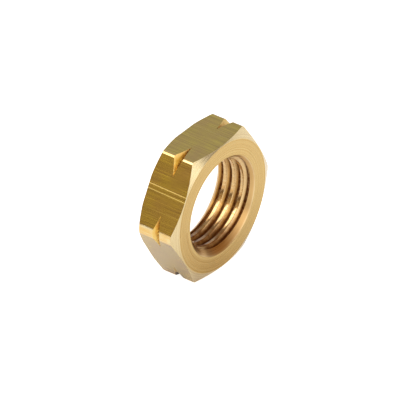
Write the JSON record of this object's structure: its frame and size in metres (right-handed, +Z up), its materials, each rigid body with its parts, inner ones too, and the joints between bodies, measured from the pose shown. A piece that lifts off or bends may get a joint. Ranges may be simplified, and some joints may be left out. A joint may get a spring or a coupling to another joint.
{
  "type": "brass lock nut",
  "caption": "Thin hexagonal brass lock nut with a parallel pipe thread, countersunk and chamfered faces, and a star-shaped nick in each of its six corners.",
  "frame": {"origin": "middle of the hexagon flat that the nut stands on", "axes": "+Z up, -Y out of the front face along the thread, +X towards the corner opposite the rounder one"},
  "size_m": [0.0204, 0.0058, 0.018],
  "materials": {
    "brass": "turned faces, drawn flats and a tapped bore"
  },
  "bodies": {
    "root": {"lock_nut": "brass"}
  },
  "joints": []
}
